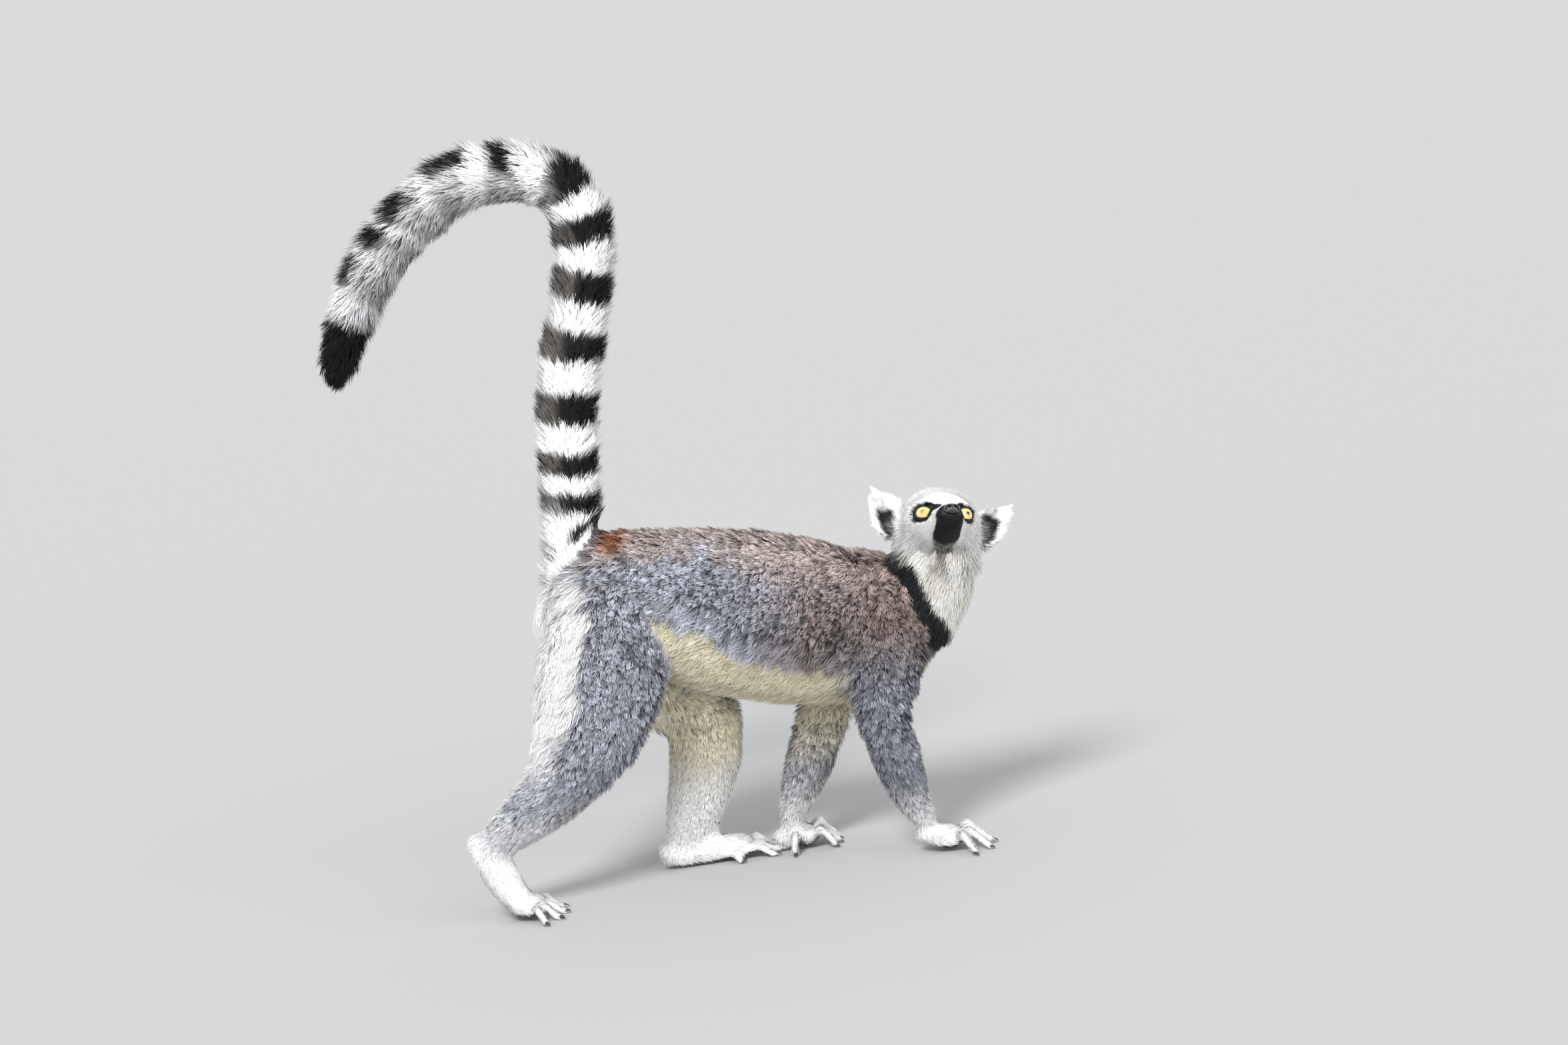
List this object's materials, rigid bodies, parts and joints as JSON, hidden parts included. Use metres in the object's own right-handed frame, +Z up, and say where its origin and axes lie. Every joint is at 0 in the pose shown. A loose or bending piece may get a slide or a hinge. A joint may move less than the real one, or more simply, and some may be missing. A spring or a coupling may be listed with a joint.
{
  "type": "ring-tailed lemur",
  "caption": "Life-size lemur walking on all fours, its head turned aside and lifted, its long ringed tail raised and curled over backwards.",
  "frame": {"origin": "on the floor, under the middle of the whole model's box", "axes": "+X the way it walks, +Y its left side, +Z up"},
  "size_m": [0.567, 0.1687, 0.6661],
  "materials": {
    "body_fur": "dense woolly grey-brown coat, bluish grey on the flanks, cream below",
    "face_fur": "short white coat with black eye patches and muzzle",
    "hand_and_foot_fur": "short pale grey to white coat",
    "tail_fur": "long loose coat with black and white rings and a black tip",
    "nose": "damp black skin",
    "pads": "dark grey skin of the soles, palms and fingertips",
    "nails": "dark horn",
    "eyes": "wet, amber iris with a pinpoint pupil"
  },
  "bodies": {
    "root": {"belly": "body_fur", "chest": "body_fur", "ear_left": "face_fur", "ear_right": "face_fur", "eye_left": "eyes", "eye_right": "eyes", "finger_left_1": "hand_and_foot_fur", "finger_left_2": "hand_and_foot_fur", "finger_left_3": "hand_and_foot_fur", "finger_left_4": "hand_and_foot_fur", "finger_left_5": "hand_and_foot_fur", "finger_right_1": "hand_and_foot_fur", "finger_right_2": "hand_and_foot_fur", "finger_right_3": "hand_and_foot_fur", "finger_right_4": "hand_and_foot_fur", "finger_right_5": "hand_and_foot_fur", "foot_left": "hand_and_foot_fur", "foot_right": "hand_and_foot_fur", "forearm_left": "body_fur", "forearm_right": "body_fur", "hand_left": "hand_and_foot_fur", "hand_right": "hand_and_foot_fur", "head": "face_fur", "neck": "face_fur", "nose": "nose", "rump": "body_fur", "shank_left": "body_fur", "shank_right": "body_fur", "tail_1": "tail_fur", "tail_2": "tail_fur", "tail_3": "tail_fur", "tail_4": "tail_fur", "tail_5": "tail_fur", "tail_6": "tail_fur", "thigh_left": "body_fur", "thigh_right": "body_fur", "toe_left_1": "hand_and_foot_fur", "toe_left_2": "hand_and_foot_fur", "toe_left_3": "hand_and_foot_fur", "toe_left_4": "hand_and_foot_fur", "toe_left_5": "hand_and_foot_fur", "toe_right_1": "hand_and_foot_fur", "toe_right_2": "hand_and_foot_fur", "toe_right_3": "hand_and_foot_fur", "toe_right_4": "hand_and_foot_fur", "toe_right_5": "hand_and_foot_fur", "upper_arm_left": "body_fur", "upper_arm_right": "body_fur"}
  },
  "joints": []
}
